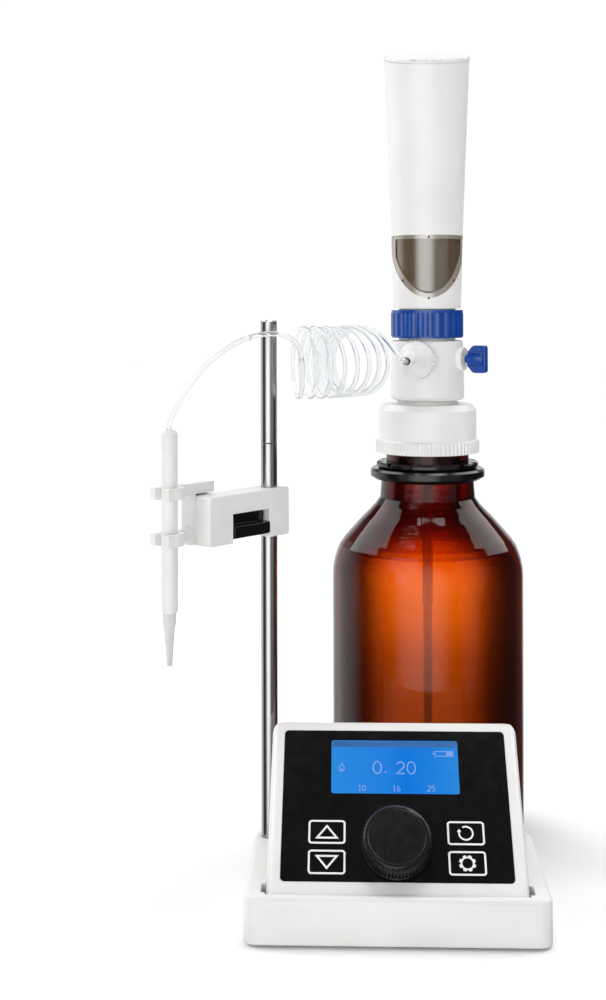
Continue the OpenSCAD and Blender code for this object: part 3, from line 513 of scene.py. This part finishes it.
# Panel face, in millimetres: u runs to the right, v up the slope from the panel's lower edge, n out of it.
# The lip is the slope's lower end, the flat its upper end, and the panel keeps off both
LIP_RISE = 10.5
TOP_FLAT = 2
PANEL_LOW = 7.3
PANEL_HIGH = 3.7
FACE = 0.1
console_low, console_high = box("console_shell")
lip = Vector((middle("console_shell").x, console_low.y, console_low.z + LIP_RISE * MM))
slope_run = (console_high.y - console_low.y) / MM - TOP_FLAT
slope_rise = (console_high.z - lip.z) / MM
tilt = math.atan2(slope_rise, slope_run)
panel_h = round(math.hypot(slope_rise, slope_run) - PANEL_LOW - PANEL_HIGH, 1)


def on_face(u, v, n):
    y = PANEL_LOW + v
    ahead = y * math.cos(tilt) - n * math.sin(tilt)
    up = y * math.sin(tilt) + n * math.cos(tilt)
    return lip + MM * Vector((u, ahead, up))


# Flat shapes: a band is a list of outlines that join edge to edge
SAME_END = 0.001
MITRE_LIMIT = 0.35
CORNER_STEPS = 6
TOOTH_TOP = 10
TOOTH_FOOT = 17


def rectangle(left, low, right, high):
    return [(left, low), (right, low), (right, high), (left, high)]


def arc(x, y, rx, ry, start, end, steps):
    angles = [math.radians(start + (end - start) * i / steps) for i in range(steps + 1)]
    return [(x + rx * math.cos(a), y + ry * math.sin(a)) for a in angles]


def rounded_line(w, h, r):
    points = []
    for x, y, start in ((1, 1, 0), (-1, 1, 90), (-1, -1, 180), (1, -1, 270)):
        points += arc(x * (w / 2 - r), y * (h / 2 - r), r, r, start, start + 90, CORNER_STEPS)
    return points


def stroke(points, width, closed=False):
    """Mitred band along a line of points; a line that ends where it starts is closed."""
    points = [Vector(p) for p in points]
    if (points[0] - points[-1]).length < SAME_END:
        points.pop()
        closed = True
    count = len(points)
    sides = []
    for i, point in enumerate(points):
        before = points[i - 1] if i or closed else None
        after = points[(i + 1) % count] if i < count - 1 or closed else None
        into = (point - before).normalized() if before is not None else (after - point).normalized()
        out = (after - point).normalized() if after is not None else into
        normal = Vector((-(into + out).y, (into + out).x)).normalized()
        reach = width / 2 / max(MITRE_LIMIT, normal.dot(Vector((-into.y, into.x))))
        sides.append((tuple(point + normal * reach), tuple(point - normal * reach)))
    pairs = zip(sides, sides[1:] + sides[:1] if closed else sides[1:])
    return [[right, next_right, next_left, left] for (left, right), (next_left, next_right) in pairs]


def gear(outer, root, hole, teeth):
    """Ring with square-topped teeth; a tooth reaches TOOTH_FOOT degrees to both sides of its middle."""
    rim = []
    bore = []
    for i in range(teeth):
        centre = 360 / teeth * (i + 0.5)
        for turn, r in ((-TOOTH_FOOT, root), (-TOOTH_TOP, outer), (TOOTH_TOP, outer), (TOOTH_FOOT, root)):
            a = math.radians(centre + turn)
            rim.append((r * math.cos(a), r * math.sin(a)))
            bore.append((hole * math.cos(a), hole * math.sin(a)))
    count = len(rim)
    return [[bore[i], bore[(i + 1) % count], rim[(i + 1) % count], rim[i]] for i in range(count)]


# Print, and one painted shade strip on the display: thin solids, a few hundredths of a millimetre proud of
# the face that carries them
PRINT_GAP = 0.005


def printed(name, bands, body, mat, at, height):
    """One closed solid for each band, with walls only round the band."""
    verts = []
    faces = []
    for band in bands:
        corners = list(dict.fromkeys(point for outline in band for point in outline))
        place = {point: len(verts) + i for i, point in enumerate(corners)}
        lift = len(corners)
        for level in (FACE + PRINT_GAP, FACE + height):
            verts += [on_face(at[0] + u, at[1] + v, level) for u, v in corners]
        for outline in band:
            low = [place[point] for point in outline]
            faces.append(tuple(reversed(low)))
            faces.append(tuple(i + lift for i in low))
        edges = dict.fromkeys((a, b) for outline in band for a, b in zip(outline, outline[1:] + outline[:1]))
        for a, b in edges:
            if (b, a) not in edges:
                faces.append((place[a], place[b], place[b] + lift, place[a] + lift))
    obj = mesh_piece(name, verts, faces)
    coat(obj, mat)
    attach(obj, body)


# Signs on the four keys
KEY_W = 16.8
KEY_H = round(0.1526 * panel_h, 1)
KEY_U = 31.4
KEY_LOW_V = 0.121 * panel_h
KEY_HIGH_V = 0.312 * panel_h
KEY_LINE = 0.85
KEY_ROUND = 1.2
KEY_PRINT_H = 0.05
TRIANGLE = [(-4.5, -2.75), (4.5, -2.75), (0, 2.75)]
TURN_R = 3.1
TURN_START = -192
TURN_END = 118
TURN_LINE = 0.75
TURN_HEAD = [(-4.1, 0.6), (-1.95, 0.6), (-2.95, 2.0)]


def key_print():
    border = stroke(rounded_line(KEY_W - KEY_LINE, KEY_H - KEY_LINE, KEY_ROUND), KEY_LINE, closed=True)
    up = stroke(TRIANGLE, KEY_LINE, closed=True)
    down = stroke([(x, -y) for x, y in TRIANGLE], KEY_LINE, closed=True)
    turn = stroke(arc(0, 0, TURN_R, TURN_R, TURN_START, TURN_END, 40), TURN_LINE)
    wheel = gear(outer=3.85, root=3.1, hole=2.35, teeth=8)
    for name, u, v, icon in (("up", -KEY_U, KEY_HIGH_V, [up]), ("down", -KEY_U, KEY_LOW_V, [down]),
                             ("return", KEY_U, KEY_HIGH_V, [turn, [TURN_HEAD]]),
                             ("settings", KEY_U, KEY_LOW_V, [wheel])):
        printed("key_print_" + name, [border] + icon, name + "_key", printed_white,
                at=(u, v), height=KEY_PRINT_H)


key_print()


# Signs on the display, and a painted shade strip along its top edge, measured from its middle
LCD_W = 59.4
LCD_H = round(0.365 * panel_h, 1)
LCD_V = 0.749 * panel_h
LCD_PRINT_H = 0.04
SIGN_LINE = 0.42
# Painted shade strip along the display's top edge: its margin, height and thickness
SHADE_MARGIN = 0.4
SHADE_STRIP_H = 3
SHADE_PRINT_H = 0.02

# Each digit's lines in a unit square
DIGITS = {
    "0": [arc(0.5, 0.5, 0.36, 0.46, 90, 450, 28)],
    "1": [[(0.3, 0.78), (0.52, 0.94), (0.52, 0.04)], [(0.28, 0.04), (0.76, 0.04)]],
    "2": [arc(0.5, 0.68, 0.32, 0.27, 165, -30, 14) + [(0.16, 0.06), (0.86, 0.06)]],
    "5": [[(0.8, 0.95), (0.26, 0.95), (0.22, 0.55)] + arc(0.5, 0.33, 0.31, 0.29, 125, -150, 16)],
    "6": [arc(0.5, 0.31, 0.31, 0.27, 180, -180, 24), arc(0.66, 0.31, 0.47, 0.62, 180, 95, 10)],
}
DIGIT_STEP = 0.95
POINT_STEP = 1.15

# Numbers: text, left end, foot, digit width, digit height and line width
NUMBERS = (("0.20", -10.8, -3.7, 5.2, 6.6, 0.62), ("10", -17.5, -12.2, 2.1, 3.0, 0.36),
           ("16", -1.5, -12.2, 2.1, 3.0, 0.36), ("25", 14.5, -12.2, 2.1, 3.0, 0.36))

# Battery: left, low, right and high side, margin and start of the charge, and thickness of the pole
BATTERY = (19, 5.6, 27.4, 8)
CHARGE_MARGIN = 0.4
CHARGE_START = 5.2
POLE = 0.7

# Drop: middle and radius of its round end
DROP = (-24.8, -1.1, 1.25)


def number(text, x, y, w, h, line):
    bands = []
    for sign in text:
        if sign == ".":
            foot = (x + 0.3 * w, y + 0.12 * h)
            bands.append(stroke([foot, (foot[0], foot[1] + line)], line * 1.2))
            x += w * POINT_STEP
        else:
            bands += [stroke([(x + u * w, y + v * h) for u, v in run], line) for run in DIGITS[sign]]
            x += w * DIGIT_STEP
    return bands


def battery(left, low, right, high):
    case = stroke(rectangle(left, low, right, high), SIGN_LINE, closed=True)
    pole = stroke([(left - POLE, low + POLE), (left - POLE, high - POLE)], POLE)
    charge = [rectangle(left + CHARGE_START, low + CHARGE_MARGIN,
                        right - CHARGE_MARGIN, high - CHARGE_MARGIN)]
    return [case, pole, charge]


def drop(x, y, r):
    outline = stroke([(x, y + 2.7)] + arc(x, y, r, r, 25, -205, 16), SIGN_LINE, closed=True)
    level = [[(x - 0.9, y - 0.4), (x, y - 1), (x + 0.9, y - 0.4), (x, y + 0.1)]]
    return [outline, level]


def display_print():
    bands = [band for settings in NUMBERS for band in number(*settings)]
    bands += battery(*BATTERY)
    bands += drop(*DROP)
    printed("display_print", bands, "console", lcd_ink, at=(0, LCD_V), height=LCD_PRINT_H)
    # Painted shade: a darker strip along the display's top edge
    side = LCD_W / 2 - SHADE_MARGIN
    top = LCD_H / 2 - SHADE_MARGIN
    printed("display_top_shade", [[rectangle(-side, top - SHADE_STRIP_H, side, top)]], "console", display_shade_ink,
            at=(0, LCD_V), height=SHADE_PRINT_H)


display_print()


# Studio
FLOOR_REACH = 6
WALL_SIDES = 64
WALL_R = 5.9
WALL_LOW = -0.5
WALL_HIGH = 8

# World glows: direction, cosine where the glow starts, cosine where it is full, strength outside and inside
GLOWS = (((0.0, 1.0, 0.0), 0.82, 0.945, 0.06, 1.0),
         ((-0.17, -0.985, 0.0), 0.76, 1.0, 0.0, 2.7),
         ((-0.84, 0.53, -0.1), 0.78, 0.98, 0.0, 1.2))

# Distant lights: name, where the light comes from, strength, spread in degrees and whether gloss mirrors it
SUNS = (("key", (-0.7, -1.0, 0.65), 0.55, 36, True),
        ("fill", (0.9, -0.8, 0.2), 0.2, 50, True),
        ("back_left", (-0.9, 0.5, 0.9), 1.5, 45, True),
        ("back_right", (0.9, 0.6, 0.9), 1.4, 45, True),
        ("top", (0.05, 0.15, 1.0), 0.85, 40, False))
OVERHEAD_W = 0.8
OVERHEAD_D = 0.45
OVERHEAD_POWER = 6
OVERHEAD_PLACE = (bottle.x + 0.1, bottle.y, 1.7)


def paper_floor():
    corners = [(x, y, 0) for x, y in rectangle(-FLOOR_REACH, -FLOOR_REACH, FLOOR_REACH, FLOOR_REACH)]
    floor = mesh_piece("floor", corners, [(0, 1, 2, 3)])
    coat(floor, moulded("floor_paper", (0.92, 0.92, 0.92), (0.94, 0.94, 0.94), (0.7, 0.8), tone=3, grain=400,
                        depth=0.01 * MM))
    floor.visible_glossy = False


def backdrop():
    """Plain white wall that only direct sight and clear pieces see, so that it doesn't light the object."""
    sides = WALL_SIDES
    angles = [2 * math.pi * i / sides for i in range(sides)]
    verts = [(WALL_R * math.cos(a), WALL_R * math.sin(a), z) for z in (WALL_LOW, WALL_HIGH) for a in angles]
    faces = [(i, (i + 1) % sides, sides + (i + 1) % sides, sides + i) for i in range(sides)]
    wall = mesh_piece("backdrop", verts, faces)
    mat, _, shader = material("backdrop_white")
    shader.inputs["Base Color"].default_value = (0, 0, 0, 1)
    shader.inputs["Emission Color"].default_value = (1, 1, 1, 1)
    shader.inputs["Emission Strength"].default_value = 1.0
    coat(wall, mat)
    wall.visible_diffuse = False
    wall.visible_glossy = False
    wall.visible_shadow = False


def surround():
    """World: bright behind the object, a broad glow in front, a narrow one behind on the left, else dim."""
    world = bpy.data.worlds.new("studio")
    world.use_nodes = True
    tree = world.node_tree
    total = 0
    for direction, start, full, low, high in GLOWS:
        towards = tree.nodes.new("ShaderNodeVectorMath")
        towards.operation = "DOT_PRODUCT"
        towards.inputs[1].default_value = direction
        tree.links.new(coordinate(tree, "Generated"), towards.inputs[0])
        glow = map_range(tree, towards.outputs["Value"], start, full, low, high, "SMOOTHSTEP")
        total = calculate(tree, "ADD", total, glow)
    background = tree.nodes["Background"]
    background.inputs["Color"].default_value = (1, 1, 1, 1)
    tree.links.new(total, background.inputs["Strength"])
    scene.world = world


def lamp(data, place):
    obj = bpy.data.objects.new(data.name, data)
    scene.collection.objects.link(obj)
    obj.location = place
    return obj


def overhead():
    """Rectangular soft box above the object."""
    data = bpy.data.lights.new("overhead", "AREA")
    data.shape = "RECTANGLE"
    data.size = OVERHEAD_W
    data.size_y = OVERHEAD_D
    data.energy = OVERHEAD_POWER
    lamp(data, OVERHEAD_PLACE)


def suns():
    """Broad distant lights."""
    for name, place, power, spread_angle, mirrored in SUNS:
        data = bpy.data.lights.new(name, "SUN")
        data.energy = power
        data.angle = math.radians(spread_angle)
        sun = lamp(data, place)
        sun.rotation_mode = "QUATERNION"
        sun.rotation_quaternion = (-Vector(place)).to_track_quat("-Z", "Y")
        sun.visible_glossy = mirrored


paper_floor()
backdrop()
surround()
overhead()
suns()
scene.view_settings.view_transform = "Standard"
